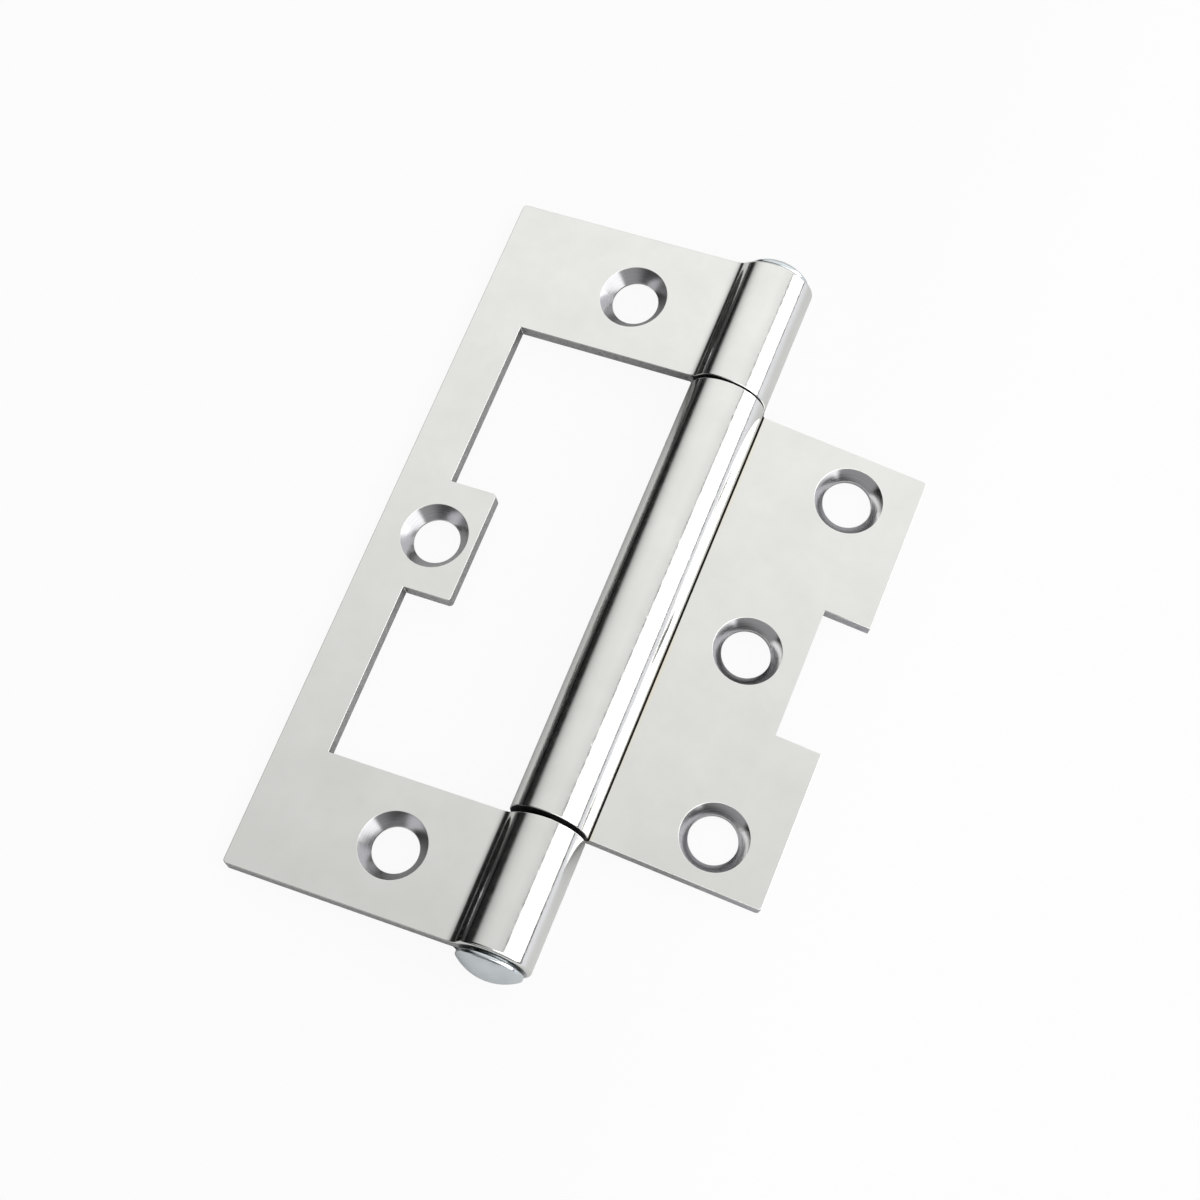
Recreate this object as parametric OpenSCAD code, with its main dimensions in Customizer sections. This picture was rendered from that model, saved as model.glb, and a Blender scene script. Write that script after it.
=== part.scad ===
// Flush door hinge with a fixed pin. The inner leaf folds into the window of the outer leaf, so the
// closed hinge is one sheet thick. The pin lies along Y with its middle at the origin. The hinge is
// laid open on a flat surface, on its barrel and the free edges of both leaves, with +Z up and the
// countersunk faces upwards.

/* [Outer leaf] */
// Height of the outer leaf along the pin
leaf_h = 100; // [96:1:120]
// Width of the outer leaf from the pin axis to its free edge
leaf_w = 36.6; // [35:0.1:45]
// Thickness of the steel sheet of both leaves
sheet_t = 2; // [1.8:0.1:2.2]
// Height of the middle of the sheet above the pin axis
leaf_rise = 1.6; // [1.4:0.1:1.8]
// Radius of the free corners of the leaves and of the tab
corner_r = 0.5; // [0.2:0.1:1.5]

/* [Window and tab] */
// Height of the window along the pin
window_h = 64.2; // [56:0.2:66]
// Width of the strip between the window and the free edge
rim_w = 6.9; // [6:0.1:10]
// Height of the screw tab along the pin
tab_h = 16; // [13:0.5:20]
// Length of the screw tab into the window
tab_len = 6.6; // [5:0.1:8]

/* [Inner leaf] */
// Width of the inner leaf from the pin axis to its free edge
inner_w = 28.5; // [27.5:0.1:28.7]
// Gap between the closed inner leaf and the window at each end
nest_gap = 1; // [0.6:0.1:1.5]
// Gap between the closed notch and each side of the tab
notch_gap = 1.1; // [0.6:0.1:1.5]
// Depth of the notch in the free edge
notch_depth = 6.3; // [6.1:0.1:7]
// Offset of the inner leaf along the pin, within its end play
end_shift = 0.1; // [0:0.05:0.2]

/* [Barrel and pin] */
// Diameter of the pin
pin_d = 6.4; // [6:0.1:6.8]
// Clearance all round between the pin and the knuckle that turns on it
running_gap = 0.05; // [0.02:0.01:0.1]
// Radius of the bend between a leaf and its knuckle
bend_r = 2.5; // [2:0.1:3]
// How much the bend thins the sheet on each of its two faces
bend_thinning = 0.02; // [0.01:0.01:0.05]
// Gap between the end of a curl and the back of its leaf
seam_gap = 0.25; // [0.1:0.05:0.4]
// How far the curling makes a knuckle swell past the sheared edge of its leaf
swell = 0.25; // [0:0.05:0.25]
// Diameter of the formed head at the lower end of the pin
lower_head_d = 9; // [8:0.1:10]
// Diameter of the riveted head at the upper end of the pin
upper_head_d = 8.4; // [8:0.1:10]
// Gap between a pin head and the end of the barrel
head_gap = 0.3; // [0.1:0.05:0.5]
// Thickness of the rim of a pin head
head_rim = 0.5; // [0.3:0.1:1]
// Height of the dome of a pin head
head_dome = 1.6; // [1:0.1:2]

/* [Screw holes] */
// Diameter of the countersinks at the face of the leaf
sink_d = 9.1; // [8:0.1:9.1]
// Diameter of the screw holes of the outer leaf
outer_hole_d = 6.2; // [5.5:0.1:6.5]
// Depth of the countersinks of the outer leaf
outer_sink = 1.8; // [1:0.1:1.8]
// Diameter of the screw holes of the inner leaf
inner_hole_d = 6.5; // [5.5:0.1:6.5]
// Depth of the countersinks of the inner leaf
inner_sink = 1.3; // [1:0.1:1.8]
// Distance from the pin axis to the two end holes of the outer leaf
outer_end_u = 16.8; // [15:0.1:20]
// Distance from the middle of the hinge to the end holes of the outer leaf
outer_end_y = 40.9; // [39.5:0.1:42]
// Distance from the pin axis to the middle hole of the outer leaf
outer_mid_u = 28.7; // [28.7:0.1:30]
// Distance from the pin axis to the two end holes of the inner leaf
inner_end_u = 19.8; // [15:0.1:22]
// Distance from the middle of the hinge to the end holes of the inner leaf
inner_end_y = 24.6; // [20:0.1:25]
// Distance from the pin axis to the middle hole of the inner leaf
inner_mid_u = 14.9; // [13:0.1:16]

/* [Hidden] */
$fn = 96;

cut = 1; // how far a cutting shape passes the face that it cuts
bend_lap = 2; // degrees that the bend runs on into the flat leaf and into the curl
leaf_top = leaf_rise + sheet_t / 2;
leaf_bottom = leaf_rise - sheet_t / 2;
window_u = leaf_w - rim_w;
tab_u = window_u - tab_len;
inner_h = window_h - 2 * nest_gap;
notch_h = tab_h + 2 * notch_gap;
pin_r = pin_d / 2;
bore_r = pin_r + running_gap;
barrel_r = bore_r + sheet_t;

// Angle between a leaf and the surface that its lower edge and the barrel rest on
function lie_angle(edge_u, edge_w) = asin(barrel_r / norm([edge_u, edge_w])) + atan2(edge_w, edge_u);
outer_tilt = lie_angle(leaf_w, leaf_bottom);
inner_tilt = lie_angle(inner_w, -leaf_top);

// Centre of the bend that joins a flat leaf to a curl with bore radius r
function bend_centre(r) = let (w = leaf_top + bend_r) [sqrt((r + sheet_t + bend_r) ^ 2 - w ^ 2), w];
function polar(radius, angle) = radius * [cos(angle), sin(angle)];

// A wedge with its point at the origin, wide enough to cover the barrel between two angles
module wedge(from, to) {
    polygon([[0, 0], polar(2 * barrel_r, from), polar(2 * barrel_r, to)]);
}

module ring(inner, outer) {
    difference() {
        circle(r = outer);
        circle(r = inner);
    }
}

// Cross-section of the curl around the pin: it leaves the bend, goes over the pin and stops under the leaf
module curl_section(r) {
    centre = bend_centre(r);
    difference() {
        ring(r, r + sheet_t);
        wedge(asin((leaf_bottom - seam_gap) / (r + sheet_t)), atan2(centre.y, centre.x));
    }
}

// Cross-section of the bend between the leaf and the curl
module bend_section(r) {
    centre = bend_centre(r);
    translate(centre)
    intersection() {
        ring(bend_r + bend_thinning, bend_r + sheet_t - bend_thinning);
        wedge(180 + atan2(centre.y, centre.x) - bend_lap, 270 + bend_lap);
    }
}

// Carries a cross-section along the pin from y = low to y = high
module along_pin(low, high) {
    translate([0, high, 0])
    rotate([90, 0, 0])
    linear_extrude(high - low)
    children();
}

// One knuckle with its bend, between two ends of the leaf; the curl swells past each end as given
module knuckle(r, low, high, low_swell, high_swell) {
    along_pin(low - low_swell, high + high_swell) curl_section(r);
    along_pin(low, high) bend_section(r);
}

// Outline of a flat leaf, from the bend to the free edge, with its two free corners rounded
module leaf_outline(start_u, end_u, height) {
    translate([start_u, -height / 2]) square([end_u - corner_r - start_u, height]);
    translate([end_u - 2 * corner_r, corner_r - height / 2]) square([2 * corner_r, height - 2 * corner_r]);
    for (side = [-1, 1])
        translate([end_u - corner_r, side * (height / 2 - corner_r)]) circle(r = corner_r);
}

// The screw tab, with its two free corners rounded
module tab_outline() {
    translate([tab_u + corner_r, -tab_h / 2]) square([tab_len, tab_h]);
    translate([tab_u, corner_r - tab_h / 2]) square([2 * corner_r, tab_h - 2 * corner_r]);
    for (side = [-1, 1])
        translate([tab_u + corner_r, side * (tab_h / 2 - corner_r)]) circle(r = corner_r);
}

module outer_outline() {
    difference() {
        leaf_outline(bend_centre(pin_r).x, leaf_w, leaf_h);
        translate([-cut, -window_h / 2]) square([window_u + cut, window_h]);
    }
    tab_outline();
}

module inner_outline() {
    difference() {
        leaf_outline(bend_centre(bore_r).x, inner_w, inner_h);
        translate([inner_w - notch_depth, -notch_h / 2]) square([notch_depth + cut, notch_h]);
    }
}

// Cutter for a countersunk screw hole, seen from above, with its rim at z = 0
module screw_hole(hole_d, sink) {
    flare = (sink_d - hole_d) / sink;
    translate([0, 0, -sheet_t - cut]) cylinder(h = sheet_t + 2 * cut, d = hole_d);
    translate([0, 0, -sink]) cylinder(h = sink + cut, d1 = hole_d, d2 = sink_d + flare * cut);
}

// Two end holes and a middle hole
module screw_holes(end_u, end_y, mid_u, hole_d, sink) {
    for (side = [-1, 1])
        translate([end_u, side * end_y, 0]) screw_hole(hole_d, sink);
    translate([mid_u, 0, 0]) screw_hole(hole_d, sink);
}

module outer_leaf() {
    color([0.83, 0.83, 0.81])
    rotate([0, -outer_tilt, 0])
    rotate([0, 0, 180])
    difference() {
        union() {
            translate([0, 0, leaf_bottom]) linear_extrude(sheet_t) outer_outline();
            knuckle(pin_r, -leaf_h / 2, -window_h / 2, 0, swell);
            knuckle(pin_r, window_h / 2, leaf_h / 2, swell, 0);
        }
        translate([0, 0, leaf_top])
            screw_holes(outer_end_u, outer_end_y, outer_mid_u, outer_hole_d, outer_sink);
    }
}

module inner_leaf() {
    color([0.88, 0.88, 0.86])
    translate([0, end_shift, 0])
    rotate([0, inner_tilt, 0])
    difference() {
        rotate([180, 0, 0]) {
            translate([0, 0, leaf_bottom]) linear_extrude(sheet_t) inner_outline();
            knuckle(bore_r, -inner_h / 2, inner_h / 2, swell, swell);
        }
        translate([0, 0, -leaf_bottom])
            screw_holes(inner_end_u, inner_end_y, inner_mid_u, inner_hole_d, inner_sink);
    }
}

// A domed pin head with its flat underside at z = 0
module pin_head(head_d) {
    dome_r = (head_d ^ 2 / 4 + head_dome ^ 2) / (2 * head_dome);
    intersection() {
        cylinder(h = head_rim + head_dome + cut, d = head_d);
        translate([0, 0, head_rim + head_dome - dome_r]) sphere(r = dome_r);
    }
}

module hinge_pin() {
    half = leaf_h / 2 + head_gap;
    color([0.72, 0.76, 0.78])
    union() {
        translate([0, half, 0]) rotate([90, 0, 0]) cylinder(h = 2 * half, r = pin_r);
        translate([0, -half, 0]) rotate([90, 0, 0]) pin_head(lower_head_d);
        translate([0, half, 0]) rotate([-90, 0, 0]) pin_head(upper_head_d);
    }
}

outer_leaf();
inner_leaf();
hinge_pin();
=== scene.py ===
from math import asin, atan2, cos, degrees, hypot, pi, radians, sin, sqrt

import bmesh
import bpy
from mathutils import Matrix, Vector


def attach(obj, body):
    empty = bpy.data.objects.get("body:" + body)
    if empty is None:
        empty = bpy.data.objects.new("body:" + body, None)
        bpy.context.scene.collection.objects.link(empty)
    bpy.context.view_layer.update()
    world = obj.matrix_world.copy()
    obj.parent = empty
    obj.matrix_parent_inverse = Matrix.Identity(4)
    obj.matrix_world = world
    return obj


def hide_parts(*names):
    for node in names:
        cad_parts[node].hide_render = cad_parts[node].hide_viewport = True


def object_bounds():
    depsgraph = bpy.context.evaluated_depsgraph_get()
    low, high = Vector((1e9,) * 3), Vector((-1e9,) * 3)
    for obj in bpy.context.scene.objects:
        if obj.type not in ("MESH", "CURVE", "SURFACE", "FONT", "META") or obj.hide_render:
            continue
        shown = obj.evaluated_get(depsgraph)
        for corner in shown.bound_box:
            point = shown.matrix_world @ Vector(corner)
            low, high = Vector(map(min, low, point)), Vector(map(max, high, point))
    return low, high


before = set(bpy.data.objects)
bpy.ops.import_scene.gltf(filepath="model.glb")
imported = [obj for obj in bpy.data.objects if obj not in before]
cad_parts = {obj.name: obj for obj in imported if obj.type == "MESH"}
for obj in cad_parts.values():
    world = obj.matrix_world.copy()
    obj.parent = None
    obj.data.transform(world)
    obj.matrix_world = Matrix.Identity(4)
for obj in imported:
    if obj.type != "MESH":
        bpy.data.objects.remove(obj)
cad_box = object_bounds()

# Sizes of the hinge, in metres. The pin lies along Y, and each leaf is first made flat: X away from
# the pin, Y along it and Z up from it, with the curl going over the pin.
MM = 0.001
SHEET = 2.0 * MM
LEAF_TOP = 2.6 * MM
LEAF_BOTTOM = LEAF_TOP - SHEET
PIN_RADIUS = 3.2 * MM
INNER_BORE = 3.25 * MM
BARREL_RADIUS = INNER_BORE + SHEET
BEND_RADIUS = 2.5 * MM
BEND_HEIGHT = LEAF_TOP + BEND_RADIUS
SEAM_GAP = 0.25 * MM
SWELL = 0.25 * MM
LOWER_SWELL = 0.4 * MM
END_SHIFT = 0.1 * MM

OUTER_WIDTH, OUTER_HALF = 36.6 * MM, 50.0 * MM
INNER_WIDTH, INNER_HALF = 28.5 * MM, 31.1 * MM
WINDOW_U, WINDOW_HALF = 29.7 * MM, 32.1 * MM
TAB_U, TAB_HALF = 23.1 * MM, 8.0 * MM
NOTCH_U, NOTCH_HALF = 22.2 * MM, 9.1 * MM
CORNER_RADIUS = 0.5 * MM

SINK_RADIUS = 4.55 * MM
OUTER_HOLE_RADIUS, OUTER_SINK_DEPTH = 3.1 * MM, 1.8 * MM
INNER_HOLE_RADIUS, INNER_SINK_DEPTH = 3.25 * MM, 1.3 * MM
OUTER_HOLES = [(16.8 * MM, -40.9 * MM), (28.7 * MM, 0.0), (16.8 * MM, 40.9 * MM)]
INNER_HOLES = [(19.8 * MM, -24.6 * MM), (14.9 * MM, 0.0), (19.8 * MM, 24.6 * MM)]

HEAD_GAP = 0.3 * MM
HEAD_RIM = 0.5 * MM
HEAD_DOME = 1.6 * MM
HEAD_CHAMFER = 0.12 * MM
LOWER_HEAD_RADIUS = 4.5 * MM
UPPER_HEAD_RADIUS = 4.2 * MM

# Widths of the rounding that shearing, curling and tumbling leave on the edges.
BARREL_END_ROUND = 0.45 * MM
JOINT_ROUND = 0.13 * MM
FACE_EDGE_ROUND = 0.09 * MM
BACK_EDGE_ROUND = 0.07 * MM
RIM_ROUND = 0.03 * MM
HEAD_ROUND = 0.08 * MM
EDGE_ANGLE = radians(30)
# Beyond this height an edge of the barrel is at its end, and not at a joint between knuckles.
BARREL_END_FROM = 40.0 * MM

# Distance within which two points of a mesh count as one.
TOUCH = 0.001 * MM

CIRCLE_STEPS = 96
BEND_STEPS = 12
CURL_STEPS = 96
CORNER_STEPS = 5
DOME_STEPS = 14

# Noise scales per metre, from the slow waves of rolled sheet down to the marks of a cutter.
PATCH_SCALE = 60.0
WAVE_SCALE = 120.0
HAZE_SCALE = 160.0
MOTTLE_SCALE = 900.0
DRAWN_SCALE = 1800.0
PIT_SCALE = 2300.0
SHEAR_SCALE = 5200.0
RING_SCALE = 11000.0

# Painted shade: near black on the last strip of the curl and the bend below it, where the seam's gap is.
SEAM_SHADE_COLOUR = (0.022, 0.018, 0.014)
STAIN_COLOUR = (0.93, 0.85, 0.66)
# Painted shade: the pin's shank is near black so that it looks dark in the joint gaps.
SHANK_PAINTED_SHADE = (0.05, 0.05, 0.052)

CAMERA_AZIMUTH = radians(21.7)
CAMERA_ELEVATION = radians(69.1)
CAMERA_DISTANCE = 0.3683
CAMERA_AIM = Vector((-0.0051, -0.0011, 0.0))
CAMERA_LENS = 86.15

FLOOR_HALF = 0.25
FLOOR_TONE = 0.64
# Painted glow: the floor shines by itself in the plate's reflections, as if a window lit it.
FLOOR_PAINTED_GLOW = (0.90, 0.91, 1.0, 1.0)
# How much of the backdrop the camera sees through the floor, so that no pose is hidden.
FLOOR_CLEAR = 0.93

# Brightness of the studio around the pin, by the angle in degrees from straight up towards +X.
WINDOW_LEVEL = 3.0
STUDIO_LEVELS = [
    (-180, 0.02), (-72, 0.02), (-69, 0.28), (-65, 0.50), (-60, 0.66), (-52, 0.78), (-44, 0.87), (-30, 0.94),
    (4, 0.97), (20, 0.91), (34, 0.84), (35.5, 0.15), (39, 0.15), (40.5, WINDOW_LEVEL), (180, WINDOW_LEVEL),
]
# The wall of the studio leans, so its edges turn with the direction along the pin.
STUDIO_LEAN = radians(-72)
STUDIO_LEAN_FROM = 0.33
UNDERSIDE_LIGHT = (0.62, 0.62, 0.63)

SHEET_METAL, SHEARED_METAL, TURNED_METAL, BORE_PAINTED_SHADE = range(4)


def lie_angle(edge_u, edge_w):
    """Angle that a leaf makes with the table when its lower edge and the barrel rest on it."""
    return asin(BARREL_RADIUS / hypot(edge_u, edge_w)) + atan2(edge_w, edge_u)


# ---------------------------------------------------------------- nodes


def new_material(name):
    """A material with its node tree and its main shader."""
    material = bpy.data.materials.new(name)
    material.use_nodes = True
    tree = material.node_tree
    return material, tree, tree.nodes["Principled BSDF"]


def add_node(tree, kind, inputs=None, **settings):
    """Adds a node. inputs holds a socket to link or a value to set, by the name or number of the input."""
    node = tree.nodes.new(kind)
    for key, value in settings.items():
        setattr(node, key, value)
    for key, value in (inputs or {}).items():
        if isinstance(value, bpy.types.NodeSocket):
            tree.links.new(value, node.inputs[key])
        else:
            node.inputs[key].default_value = value
    return node


def math_node(tree, operation, first, second=0.5, third=0.0):
    node = add_node(tree, "ShaderNodeMath", {0: first, 1: second, 2: third}, operation=operation)
    return node.outputs[0]


def product(tree, first, second):
    return math_node(tree, "MULTIPLY", first, second)


def map_range(tree, value, from_low, from_high, to_low, to_high, kind="LINEAR"):
    node = add_node(
        tree,
        "ShaderNodeMapRange",
        {"Value": value, "From Min": from_low, "From Max": from_high, "To Min": to_low, "To Max": to_high},
        interpolation_type=kind,
    )
    return node.outputs["Result"]


def noise(tree, vector, scale, detail=2.0, roughness=0.5):
    node = add_node(
        tree,
        "ShaderNodeTexNoise",
        {"Vector": vector, "Scale": scale, "Detail": detail, "Roughness": roughness},
    )
    return node.outputs["Fac"]


def colour_ramp(tree, value, stops):
    node = add_node(tree, "ShaderNodeValToRGB", {"Fac": value})
    ramp = node.color_ramp
    while len(ramp.elements) < len(stops):
        ramp.elements.new(0.5)
    for element, (place, colour) in zip(ramp.elements, stops):
        element.position = place
        element.color = (*colour, 1.0)
    return node.outputs["Color"]


def mix_colour(tree, share, first, second, blend="MIX"):
    """Mixes two colours. Each is a socket, three numbers or one grey level."""
    node = add_node(tree, "ShaderNodeMix", {0: share}, data_type="RGBA", blend_type=blend)
    for socket, colour in ((node.inputs[6], first), (node.inputs[7], second)):
        if isinstance(colour, bpy.types.NodeSocket):
            tree.links.new(colour, socket)
        elif isinstance(colour, tuple):
            socket.default_value = (*colour, 1.0)
        else:
            socket.default_value = (colour, colour, colour, 1.0)
    return node.outputs[2]


def object_place(tree):
    return add_node(tree, "ShaderNodeTexCoord").outputs["Object"]


def attribute(tree, name):
    return add_node(tree, "ShaderNodeAttribute", attribute_name=name).outputs["Fac"]


def light_path(tree, name):
    return add_node(tree, "ShaderNodeLightPath").outputs[name]


def bump(tree, height, distance, strength=1.0, normal=None):
    inputs = {"Height": height, "Distance": distance, "Strength": strength}
    if normal is not None:
        inputs["Normal"] = normal
    return add_node(tree, "ShaderNodeBump", inputs).outputs["Normal"]


# ---------------------------------------------------------------- materials


def seam_stain_and_shade(tree, place, across, tint):
    """Yellows the plate beside the seam in patches, as a stain, and paints shade into the seam's gap
    where the stored seam shade is high. Returns the colour and the share of painted shade."""
    edge = BARREL_RADIUS + 0.05 * MM
    beside = map_range(tree, across, edge, edge + 0.70 * MM, 0.75, 0.0)
    inside = math_node(tree, "GREATER_THAN", across, edge)
    patches = map_range(tree, noise(tree, place, PATCH_SCALE, 1.0), 0.42, 0.58, 0.0, 1.0)
    stain = product(tree, product(tree, beside, inside), patches)
    yellowed = mix_colour(tree, stain, tint, STAIN_COLOUR)
    # Painted shade: the seam's gap is painted near black where the stored share is high.
    seam_shade = map_range(tree, attribute(tree, "seam_shade"), 0.10, 0.22, 0, 1)
    return mix_colour(tree, seam_shade, yellowed, SEAM_SHADE_COLOUR), seam_shade


def plate_normal(tree, place, across, mottle):
    """The relief of the plate: lines drawn along the barrel, slow waves, a fine mottle and small pits."""
    drawn = add_node(tree, "ShaderNodeMapping", {"Vector": place, "Scale": (1.0, 0.03, 1.0)})
    lines = noise(tree, drawn.outputs["Vector"], DRAWN_SCALE, 3.0, 0.6)
    aside = math_node(tree, "ABSOLUTE", across)
    on_barrel = map_range(tree, aside, BARREL_RADIUS, 1.4 * BARREL_RADIUS, 1.0, 0.15)
    waves = noise(tree, place, WAVE_SCALE, 1.0)
    pits = map_range(tree, noise(tree, place, PIT_SCALE, 1.0), 0.76, 0.82, 0.0, 1.0)
    normal = bump(tree, product(tree, lines, on_barrel), 0.0035 * MM, 0.5)
    normal = bump(tree, waves, 0.04 * MM, 0.6, normal)
    normal = bump(tree, mottle, 0.004 * MM, 0.5, normal)
    return bump(tree, product(tree, pits, -1.0), 0.01 * MM, 0.6, normal)


def plated_sheet():
    """Bright zinc plate on cold-rolled sheet, with patches of haze, a stain beside the seam and painted shade
    in the seam's gap.
    """
    material, tree, shader = new_material("bright_zinc_plate")
    place = object_place(tree)
    across = add_node(tree, "ShaderNodeSeparateXYZ", {0: place}).outputs[0]
    haze = noise(tree, place, HAZE_SCALE, 4.0, 0.6)
    mottle = noise(tree, place, MOTTLE_SCALE, 3.0, 0.6)
    tint = colour_ramp(tree, haze, [(0.30, (0.855, 0.86, 0.828)), (0.70, (0.905, 0.91, 0.878))])
    colour, seam_shade = seam_stain_and_shade(tree, place, across, tint)
    clean = map_range(tree, mottle, 0.3, 0.7, 0.10, 0.17)
    roughness = math_node(tree, "MAXIMUM", clean, product(tree, seam_shade, 0.6))
    tree.links.new(colour, shader.inputs["Base Color"])
    tree.links.new(roughness, shader.inputs["Roughness"])
    tree.links.new(plate_normal(tree, place, across, mottle), shader.inputs["Normal"])
    shader.inputs["Metallic"].default_value = 1.0
    return material


def sheared_edge():
    """The sheared edge of the sheet: greyer, with fine lines across the thickness."""
    material, tree, shader = new_material("sheared_edge_plate")
    place = object_place(tree)
    stretched = add_node(tree, "ShaderNodeMapping", {"Vector": place, "Scale": (1.0, 1.0, 0.15)})
    lines = noise(tree, stretched.outputs["Vector"], SHEAR_SCALE, 3.0, 0.7)
    patches = noise(tree, place, 1400.0, 2.0)
    tint = colour_ramp(tree, patches, [(0.30, (0.36, 0.36, 0.36)), (0.75, (0.54, 0.54, 0.54))])
    tree.links.new(tint, shader.inputs["Base Color"])
    tree.links.new(map_range(tree, patches, 0.3, 0.7, 0.24, 0.36), shader.inputs["Roughness"])
    shader.inputs["Metallic"].default_value = 1.0
    tree.links.new(bump(tree, lines, 0.03 * MM, 0.5), shader.inputs["Normal"])
    return material


def turned_metal():
    """The countersinks, with the fine rings that the cutter leaves at each depth below the face."""
    material, tree, shader = new_material("turned_countersink_plate")
    along = add_node(tree, "ShaderNodeCombineXYZ", {"X": attribute(tree, "turning")})
    rings = noise(tree, along.outputs["Vector"], RING_SCALE, 2.0, 0.6)
    tint = colour_ramp(tree, rings, [(0.25, (0.36, 0.36, 0.375)), (0.75, (0.58, 0.58, 0.59))])
    tree.links.new(tint, shader.inputs["Base Color"])
    tree.links.new(map_range(tree, rings, 0.3, 0.7, 0.12, 0.22), shader.inputs["Roughness"])
    shader.inputs["Metallic"].default_value = 1.0
    tree.links.new(bump(tree, rings, 0.003 * MM, 0.6), shader.inputs["Normal"])
    return material


def painted_shade_bore():
    """The inside of the barrel and the knuckle ends at its joints, painted near black as shade in these
    recesses and gaps.
    """
    material, tree, shader = new_material("bore_painted_shade_steel")
    place = object_place(tree)
    blotches = noise(tree, place, 1500.0, 3.0, 0.6)
    tint = colour_ramp(tree, blotches, [(0.35, (0.035, 0.035, 0.037)), (0.75, (0.14, 0.14, 0.145))])
    tree.links.new(tint, shader.inputs["Base Color"])
    tree.links.new(map_range(tree, blotches, 0.3, 0.7, 0.65, 0.45), shader.inputs["Roughness"])
    shader.inputs["Metallic"].default_value = 0.9
    tree.links.new(bump(tree, blotches, 0.02 * MM, 0.5), shader.inputs["Normal"])
    return material


def plated_pin():
    """The bluish plate of the pin heads, with the light marks of the heading tool, and a shank painted near
    black as shade where it shows in the joint gaps.
    """
    material, tree, shader = new_material("bluish_zinc_plate")
    place = object_place(tree)
    haze = noise(tree, place, 500.0, 3.0)
    marks = noise(tree, place, 2200.0, 2.0, 0.6)
    tint = colour_ramp(tree, haze, [(0.30, (0.72, 0.78, 0.81)), (0.75, (0.84, 0.885, 0.905))])
    along = add_node(tree, "ShaderNodeSeparateXYZ", {0: place}).outputs[1]
    # Painted shade on the shank between the heads.
    shank = math_node(tree, "LESS_THAN", math_node(tree, "ABSOLUTE", along), OUTER_HALF)
    tree.links.new(mix_colour(tree, shank, tint, SHANK_PAINTED_SHADE), shader.inputs["Base Color"])
    tree.links.new(map_range(tree, marks, 0.3, 0.7, 0.14, 0.24), shader.inputs["Roughness"])
    shader.inputs["Metallic"].default_value = 1.0
    tree.links.new(bump(tree, marks, 0.01 * MM, 0.5), shader.inputs["Normal"])
    return material


# ---------------------------------------------------------------- meshes


def loop_of(bm, points, height):
    """A closed loop of edges through these points of a flat sheet."""
    corners = [bm.verts.new((u, y, height)) for u, y in points]
    return [bm.edges.new(pair) for pair in zip(corners, corners[1:] + corners[:1])]


def extrude_down(bm, faces, depth):
    """Gives a flat region thickness downwards, and returns its new lower faces."""
    made = bmesh.ops.extrude_face_region(bm, geom=faces)["geom"]
    lower = [g for g in made if isinstance(g, bmesh.types.BMVert)]
    bmesh.ops.translate(bm, verts=lower, vec=(0, 0, -depth))
    return [g for g in made if isinstance(g, bmesh.types.BMFace)]


def punch_sheet(bm, outline, holes, radius, sink_depth, face_depth):
    """The flat part of a leaf with its holes. The countersunk face is at the top if face_depth is 0, or
    else at the bottom. All loops of a hole start at its widest radius at the top face, and the others
    are then scaled to their own radius."""
    widest = SINK_RADIUS if face_depth == 0 else radius
    edges = loop_of(bm, outline, LEAF_TOP)
    for centre in holes:
        circle = bmesh.ops.create_circle(bm, segments=CIRCLE_STEPS, radius=widest)["verts"]
        bmesh.ops.translate(bm, verts=circle, vec=(*centre, LEAF_TOP))
        edges += list({e for v in circle for e in v.link_edges})
    bmesh.ops.triangle_fill(bm, edges=edges, use_beauty=True, use_dissolve=False)
    first = sink_depth if face_depth == 0 else SHEET - sink_depth
    faces = extrude_down(bm, bm.faces[:], first)
    extrude_down(bm, faces, SHEET - first)
    bmesh.ops.delete(bm, geom=faces, context="FACES_KEEP_BOUNDARY")
    rim_height = LEAF_TOP - face_depth
    for u, y in holes:
        around = [v for v in bm.verts if hypot(v.co.x - u, v.co.y - y) < 1.01 * widest]
        rim = [v for v in around if abs(v.co.z - rim_height) < TOUCH]
        resized = rim if widest == radius else [v for v in around if v not in rim]
        scale = SINK_RADIUS / radius if widest == radius else radius / SINK_RADIUS
        to_centre = Matrix.Translation((-u, -y, 0))
        bmesh.ops.scale(bm, verts=resized, vec=(scale, scale, 1), space=to_centre)
    bmesh.ops.dissolve_limit(bm, angle_limit=radians(1), verts=[], edges=bm.edges)


def round_corners(bm, corners):
    """Rounds the upright edges of the sheet at these corners."""
    edges = []
    for e in bm.edges:
        a, b = (v.co for v in e.verts)
        is_upright = hypot(a.x - b.x, a.y - b.y) < TOUCH and abs(a.z - b.z) > TOUCH
        if is_upright and any(hypot(a.x - u, a.y - y) < TOUCH for u, y in corners):
            edges.append(e)
    rounding = {"offset": CORNER_RADIUS, "segments": CORNER_STEPS, "profile": 0.5}
    bmesh.ops.bevel(bm, geom=edges, affect="EDGES", material=-1, **rounding)


def bend_start(bore):
    """Distance from the pin axis at which the flat leaf begins to bend."""
    return sqrt((bore + SHEET + BEND_RADIUS) ** 2 - BEND_HEIGHT**2)


def curl_start(bore):
    """Angle around the pin at which the bend meets the curl."""
    return atan2(BEND_HEIGHT, bend_start(bore))


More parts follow.
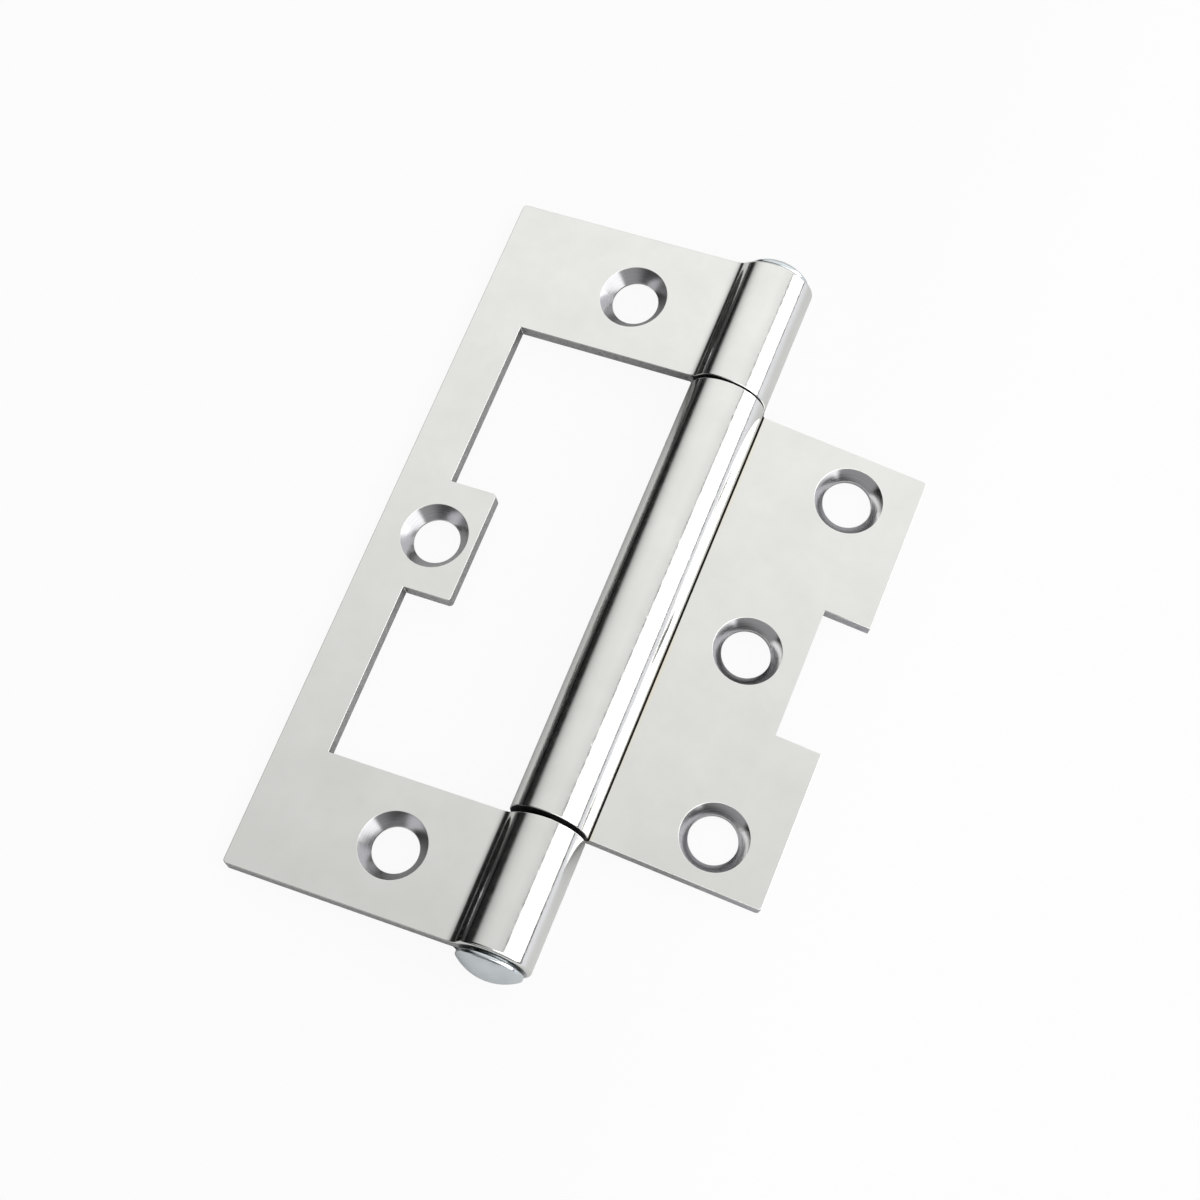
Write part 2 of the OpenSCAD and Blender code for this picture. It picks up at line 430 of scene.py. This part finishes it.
def roll_knuckle(bm, bore, low, high):
    """Rolls the edge of the sheet between two heights around the pin: first the bend, then the curl."""
    bend_u = bend_start(bore)
    entry = curl_start(bore)
    seam = asin((LEAF_BOTTOM - SEAM_GAP) / (bore + SHEET))
    faces = [
        f for f in bm.faces
        if all(abs(v.co.x - bend_u) < TOUCH and low - TOUCH < v.co.y < high + TOUCH for v in f.verts)
    ]
    bend = {"cent": (bend_u, 0, BEND_HEIGHT), "angle": pi / 2 - entry, "steps": BEND_STEPS}
    curl = {"cent": (0, 0, 0), "angle": entry - 2 * pi - seam, "steps": CURL_STEPS}
    for turn in (bend, curl):
        made = bmesh.ops.spin(bm, geom=faces, axis=(0, 1, 0), use_merge=False, **turn)
        bmesh.ops.delete(bm, geom=faces, context="FACES_ONLY")
        faces = [g for g in made["geom_last"] if isinstance(g, bmesh.types.BMFace)]


def swell_knuckles(bm, bore, ends):
    """Curling squeezes a knuckle out past the sheared edge of its leaf. Each end has its place along the
    pin and how far it swells. The swelling grows over the first part of the curl."""
    entry = curl_start(bore)
    for end, swell in ends:
        for v in bm.verts:
            if abs(v.co.y - end) < TOUCH and hypot(v.co.x, v.co.z) < bore + SHEET + TOUCH:
                turned = (atan2(v.co.z, v.co.x) - entry) % (2 * pi)
                share = min(1.0, turned / radians(70)) if turned < radians(330) else 0.0
                v.co.y += swell * share * share * (3 - 2 * share)


def edge_rounding(e, barrel, face_height):
    """How far a sharp edge of a leaf is rounded."""
    middle = (e.verts[0].co + e.verts[1].co) / 2
    from_pin = hypot(middle.x, middle.z)
    lies_across = abs(e.verts[0].co.y - e.verts[1].co.y) < 0.1 * MM
    if abs(from_pin - barrel) < 0.02 * MM and lies_across:
        return BARREL_END_ROUND if abs(middle.y) > BARREL_END_FROM else JOINT_ROUND
    if from_pin < barrel or abs(middle.z - face_height) >= 0.02 * MM:
        return BACK_EDGE_ROUND
    return RIM_ROUND if e.calc_face_angle() < radians(60) else FACE_EDGE_ROUND


def mark_edges(bm, bore, face_height):
    """Stores how much each sharp edge is rounded, as a share of the rounding at the barrel's ends."""
    weight = bm.edges.layers.float.new("bevel_weight_edge")
    for e in bm.edges:
        if len(e.link_faces) == 2 and e.calc_face_angle() >= EDGE_ANGLE:
            e[weight] = edge_rounding(e, bore + SHEET, face_height) / BARREL_END_ROUND


def mark_seam_shade(bm, bore):
    """Stores where shade is painted into the seam's gap: on the last strip of the curl, and on the bend below
    it.
    """
    seam_shade = bm.verts.layers.float.new("seam_shade")
    barrel = bore + SHEET
    for v in bm.verts:
        turned = degrees(atan2(v.co.z, v.co.x))
        on_curl = abs(hypot(v.co.x, v.co.z) - barrel) < 0.01 * MM and -7.5 < turned < 5
        in_bend = 0 < v.co.z < LEAF_BOTTOM + 0.2 * MM and 0.9 * barrel < v.co.x < barrel
        # Painted shade in the seam's gap.
        v[seam_shade] = 1.0 if on_curl or in_bend else 0.0


def face_metal(f, bore, holes):
    """The metal of a face: countersink, sheared side, plain sheet, or the bore and joint ends painted dark as
    shade.
    """
    centre = f.calc_center_median()
    from_pin = hypot(centre.x, centre.z)
    faces_end = abs(f.normal.y) > 0.9
    if abs(f.normal.z) < 0.9 and any(hypot(centre.x - u, centre.y - y) < SINK_RADIUS for u, y in holes):
        return TURNED_METAL
    # Knuckle ends at the joints get the painted shade of the bore, so the joint gaps look dark.
    if faces_end and from_pin < bore + SHEET and abs(centre.y) < BARREL_END_FROM:
        return BORE_PAINTED_SHADE
    if faces_end or abs(f.normal.z) < 0.1 and centre.x > BARREL_RADIUS:
        return SHEARED_METAL
    # The inside of the curl gets the painted shade of the bore.
    return BORE_PAINTED_SHADE if from_pin < bore + 0.9 * SHEET else SHEET_METAL


def mark_faces(bm, bore, holes, face_height):
    """Gives each face its metal, and stores the depth below the countersunk face."""
    depth = bm.verts.layers.float.new("turning")
    for v in bm.verts:
        v[depth] = abs(v.co.z - face_height)
    for f in bm.faces:
        f.material_index = face_metal(f, bore, holes)


def finish_mesh(bm, name, place, materials):
    """Puts a mesh in place and makes it a smooth-shaded object with its materials."""
    bmesh.ops.transform(bm, matrix=place, verts=bm.verts)
    bmesh.ops.recalc_face_normals(bm, faces=bm.faces)
    for f in bm.faces:
        f.smooth = True
    mesh = bpy.data.meshes.new(name)
    bm.to_mesh(mesh)
    bm.free()
    piece = bpy.data.objects.new(name, mesh)
    bpy.context.scene.collection.objects.link(piece)
    for material in materials:
        mesh.materials.append(material)
    return piece


def soften_edges(piece):
    """Rounds the edges of a leaf by their stored share, and keeps its flat faces shaded flat."""
    rounding = piece.modifiers.new("rounded_edges", "BEVEL")
    rounding.limit_method = "WEIGHT"
    rounding.width = BARREL_END_ROUND
    rounding.segments = 4
    rounding.profile = 0.5
    rounding.use_clamp_overlap = False
    rounding.miter_outer = "MITER_SHARP"
    rounding.material = SHEET_METAL
    shading = piece.modifiers.new("even_shading", "WEIGHTED_NORMAL")
    shading.mode = "FACE_AREA"
    shading.weight = 100


def finish_leaf(bm, name, place, materials):
    """Puts a leaf in place and rounds its edges."""
    piece = finish_mesh(bm, name, place, materials)
    soften_edges(piece)
    return piece


def outer_leaf(materials):
    """The frame with the window and the screw tab, and the two end knuckles."""
    bend_u = bend_start(PIN_RADIUS)
    outline = [
        (bend_u, -OUTER_HALF), (OUTER_WIDTH, -OUTER_HALF), (OUTER_WIDTH, OUTER_HALF), (bend_u, OUTER_HALF),
        (bend_u, WINDOW_HALF), (WINDOW_U, WINDOW_HALF), (WINDOW_U, TAB_HALF), (TAB_U, TAB_HALF),
        (TAB_U, -TAB_HALF), (WINDOW_U, -TAB_HALF), (WINDOW_U, -WINDOW_HALF), (bend_u, -WINDOW_HALF),
    ]
    corners = [(u, y) for u, half in ((OUTER_WIDTH, OUTER_HALF), (TAB_U, TAB_HALF)) for y in (-half, half)]
    bm = bmesh.new()
    punch_sheet(bm, outline, OUTER_HOLES, OUTER_HOLE_RADIUS, OUTER_SINK_DEPTH, 0)
    for low, high in ((-OUTER_HALF, -WINDOW_HALF), (WINDOW_HALF, OUTER_HALF)):
        roll_knuckle(bm, PIN_RADIUS, low, high)
    round_corners(bm, corners)
    bmesh.ops.recalc_face_normals(bm, faces=bm.faces)
    mark_faces(bm, PIN_RADIUS, OUTER_HOLES, LEAF_TOP)
    mark_edges(bm, PIN_RADIUS, LEAF_TOP)
    mark_seam_shade(bm, PIN_RADIUS)
    swell_knuckles(bm, PIN_RADIUS, [(-WINDOW_HALF, LOWER_SWELL), (WINDOW_HALF, -SWELL)])
    tilt = lie_angle(OUTER_WIDTH, LEAF_BOTTOM)
    place = Matrix.Rotation(-tilt, 4, "Y") @ Matrix.Rotation(pi, 4, "Z")
    piece = finish_leaf(bm, "outer_leaf_sheet", place, materials)
    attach(piece, "outer_side")
    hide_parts("outer_leaf")


def inner_leaf(materials):
    """The smaller leaf with the notch, and the middle knuckle."""
    bend_u = bend_start(INNER_BORE)
    outline = [
        (bend_u, -INNER_HALF), (INNER_WIDTH, -INNER_HALF), (INNER_WIDTH, -NOTCH_HALF),
        (NOTCH_U, -NOTCH_HALF), (NOTCH_U, NOTCH_HALF), (INNER_WIDTH, NOTCH_HALF),
        (INNER_WIDTH, INNER_HALF), (bend_u, INNER_HALF),
    ]
    corners = [(INNER_WIDTH, -INNER_HALF), (INNER_WIDTH, INNER_HALF)]
    bm = bmesh.new()
    punch_sheet(bm, outline, INNER_HOLES, INNER_HOLE_RADIUS, INNER_SINK_DEPTH, SHEET)
    roll_knuckle(bm, INNER_BORE, -INNER_HALF, INNER_HALF)
    round_corners(bm, corners)
    bmesh.ops.recalc_face_normals(bm, faces=bm.faces)
    mark_faces(bm, INNER_BORE, INNER_HOLES, LEAF_BOTTOM)
    mark_edges(bm, INNER_BORE, LEAF_BOTTOM)
    mark_seam_shade(bm, INNER_BORE)
    swell_knuckles(bm, INNER_BORE, [(-INNER_HALF, -SWELL), (INNER_HALF, SWELL)])
    tilt = lie_angle(INNER_WIDTH, -LEAF_TOP)
    turned = Matrix.Rotation(tilt, 4, "Y") @ Matrix.Rotation(pi, 4, "X")
    place = Matrix.Translation((0, END_SHIFT, 0)) @ turned
    piece = finish_leaf(bm, "inner_leaf_sheet", place, materials)
    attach(piece, "inner_side")
    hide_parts("inner_leaf")


def head_profile(radius, direction):
    """Half of a pin head's outline, from the shank out over the rim to the tip of the dome."""
    start = OUTER_HALF + HEAD_GAP
    dome_radius = (radius**2 + HEAD_DOME**2) / (2 * HEAD_DOME)
    rim_angle = asin(radius / dome_radius)
    points = [
        (PIN_RADIUS, start), (radius - HEAD_CHAMFER, start),
        (radius, start + HEAD_CHAMFER), (radius, start + HEAD_RIM),
    ]
    centre = start + HEAD_RIM + HEAD_DOME - dome_radius
    for step in range(1, DOME_STEPS + 1):
        angle = rim_angle * (1 - step / DOME_STEPS)
        points.append((dome_radius * sin(angle), centre + dome_radius * cos(angle)))
    return [(r, direction * y) for r, y in points]


def hinge_pin(material):
    """The pin with its two domed heads."""
    outline = head_profile(LOWER_HEAD_RADIUS, -1)[::-1] + head_profile(UPPER_HEAD_RADIUS, 1)
    bm = bmesh.new()
    points = [bm.verts.new((r, y, 0)) for r, y in outline]
    edges = [bm.edges.new(pair) for pair in zip(points, points[1:])]
    turn = {"cent": (0, 0, 0), "axis": (0, 1, 0), "angle": 2 * pi, "steps": CIRCLE_STEPS}
    bmesh.ops.spin(bm, geom=points + edges, use_merge=True, **turn)
    bmesh.ops.remove_doubles(bm, verts=bm.verts, dist=TOUCH)
    piece = finish_mesh(bm, "headed_pin", Matrix.Identity(4), [material])
    rounding = piece.modifiers.new("rounded_edges", "BEVEL")
    rounding.limit_method = "ANGLE"
    rounding.angle_limit = EDGE_ANGLE
    rounding.width = HEAD_ROUND
    rounding.segments = 3
    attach(piece, "outer_side")
    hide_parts("hinge_pin")


# ---------------------------------------------------------------- stage


def make_camera():
    level = cos(CAMERA_ELEVATION)
    back = Vector((sin(CAMERA_AZIMUTH) * level, -cos(CAMERA_AZIMUTH) * level, sin(CAMERA_ELEVATION)))
    data = bpy.data.cameras.new("camera")
    data.lens = CAMERA_LENS
    data.clip_start = 0.01
    camera = bpy.data.objects.new("camera", data)
    bpy.context.scene.collection.objects.link(camera)
    camera.location = CAMERA_AIM + back * CAMERA_DISTANCE
    camera.rotation_mode = "QUATERNION"
    camera.rotation_quaternion = (-back).to_track_quat("-Z", "Y")
    bpy.context.scene.camera = camera


def pale_floor():
    """Pale card with a painted glow on the +X side, as if a window lit it, which fades to none near the
    hinge as a painted shadow, and a painted dark reflection in the plate past the free edge of the outer
    leaf. The camera sees mostly through it, so a hanging leaf still shows."""
    material, tree, shader = new_material("pale_floor")
    shader.inputs["Roughness"].default_value = 0.9
    across = add_node(tree, "ShaderNodeSeparateXYZ", {0: object_place(tree)}).outputs[0]
    # Painted dark reflection: for glossy rays the floor goes near black past the outer leaf's free edge.
    past_leaf = map_range(tree, across, -36 * MM, -40 * MM, 0.0, 1.0)
    painted_dark_reflection = product(tree, light_path(tree, "Is Glossy Ray"), past_leaf)
    tree.links.new(mix_colour(tree, painted_dark_reflection, FLOOR_TONE, 0.02), shader.inputs["Base Color"])
    painted_glow = add_node(tree, "ShaderNodeEmission", {"Color": FLOOR_PAINTED_GLOW, "Strength": 1.0})
    # Painted glow, none near the hinge as a painted shadow, growing towards +X.
    painted_glow_share = map_range(tree, across, 12 * MM, 40 * MM, 0.0, 0.6, "SMOOTHSTEP")
    lit_inputs = {0: painted_glow_share, 1: shader.outputs[0], 2: painted_glow.outputs[0]}
    lit = add_node(tree, "ShaderNodeMixShader", lit_inputs)
    clear = add_node(tree, "ShaderNodeBsdfTransparent")
    clear_share = product(tree, light_path(tree, "Is Camera Ray"), FLOOR_CLEAR)
    seen_inputs = {0: clear_share, 1: lit.outputs[0], 2: clear.outputs[0]}
    seen = add_node(tree, "ShaderNodeMixShader", seen_inputs)
    tree.links.new(seen.outputs[0], tree.nodes["Material Output"].inputs["Surface"])
    return material


def make_floor():
    """A plain pale floor under the lowest point of the hinge."""
    bm = bmesh.new()
    bmesh.ops.create_grid(bm, x_segments=1, y_segments=1, size=FLOOR_HALF)
    bmesh.ops.translate(bm, verts=bm.verts, vec=(0, 0, cad_box[0].z))
    floor = finish_mesh(bm, "floor", Matrix.Identity(4), [pale_floor()])


def light_around(tree, x, y, z):
    """The light by the angle around the pin: dark low on the -X side, a soft panel overhead, a narrow dark
    slit and a bright window on the +X side. The angles change along the pin, because the walls lean."""
    across = math_node(tree, "ARCTAN2", x, z)
    from_lean = math_node(tree, "SUBTRACT", y, STUDIO_LEAN_FROM)
    lean = product(tree, from_lean, STUDIO_LEAN)
    turned = math_node(tree, "MULTIPLY_ADD", math_node(tree, "SIGN", across), lean, across)
    place = map_range(tree, turned, -pi, pi, 0.0, 1.0)
    stops = [((angle + 180) / 360, (level / WINDOW_LEVEL,) * 3) for angle, level in STUDIO_LEVELS]
    return colour_ramp(tree, place, stops)


def light_level(tree, x, y, z):
    """How bright that light is: less towards the front, dark at the horizon, and less on the -X side for
    light that the plate mirrors twice."""
    depth = map_range(tree, y, 0.15, 0.50, 0.70, 1.04)
    panel_foot = map_range(tree, y, -0.3, 0.33, 0.16, 0.02)
    above_foot = math_node(tree, "SUBTRACT", z, panel_foot)
    horizon = map_range(tree, above_foot, 0.0, 0.05, 0.01, 1.0)
    mirrored_twice = map_range(tree, light_path(tree, "Glossy Depth"), 1.0, 2.0, 0.0, 1.0)
    dark_side = map_range(tree, x, 0.0, -0.3, 0.0, 1.0)
    lost = product(tree, mirrored_twice, dark_side)
    kept = map_range(tree, lost, 0.0, 1.0, WINDOW_LEVEL, 1.0)
    return product(tree, product(tree, depth, horizon), kept)


def surroundings(tree, x, y, z, light):
    """Adds the parts of the studio behind, in front of and below the hinge, which show in the other views."""
    far_away = map_range(tree, y, 0.49, 0.61, 0.0, 1.0)
    far_left = product(tree, far_away, map_range(tree, x, 0.0, -0.2, 0.0, 1.0))
    light = mix_colour(tree, far_left, light, map_range(tree, z, 0.0, 0.4, 0.45, 0.85))
    front = map_range(tree, y, -0.48, -0.60, 0.0, 1.0)
    light = mix_colour(tree, front, light, map_range(tree, z, 0.20, 0.34, 0.10, 0.52))
    under = map_range(tree, z, -0.04, -0.07, 0.0, 1.0)
    return mix_colour(tree, under, light, UNDERSIDE_LIGHT)


def make_studio():
    """Soft studio light all round. The camera itself sees a plain pale backdrop."""
    world = bpy.data.worlds.new("studio")
    bpy.context.scene.world = world
    world.use_nodes = True
    tree = world.node_tree
    direction = add_node(tree, "ShaderNodeTexCoord").outputs["Generated"]
    parts = add_node(tree, "ShaderNodeSeparateXYZ", {0: direction})
    x, y, z = (parts.outputs[i] for i in range(3))
    light = mix_colour(tree, 1.0, light_around(tree, x, y, z), light_level(tree, x, y, z), "MULTIPLY")
    light = surroundings(tree, x, y, z, light)
    studio = add_node(tree, "ShaderNodeBackground", {"Color": light, "Strength": 1.0})
    backdrop = add_node(tree, "ShaderNodeBackground", {"Color": (1, 1, 1, 1), "Strength": 1.0})
    inputs = {0: light_path(tree, "Is Camera Ray"), 1: studio.outputs[0], 2: backdrop.outputs[0]}
    mix = add_node(tree, "ShaderNodeMixShader", inputs)
    output = next(n for n in tree.nodes if n.type == "OUTPUT_WORLD")
    tree.links.new(mix.outputs[0], output.inputs["Surface"])


bpy.context.scene.view_settings.view_transform = "Standard"
make_camera()
make_floor()
make_studio()
sheet_metals = [plated_sheet(), sheared_edge(), turned_metal(), painted_shade_bore()]
outer_leaf(sheet_metals)
inner_leaf(sheet_metals)
hinge_pin(plated_pin())
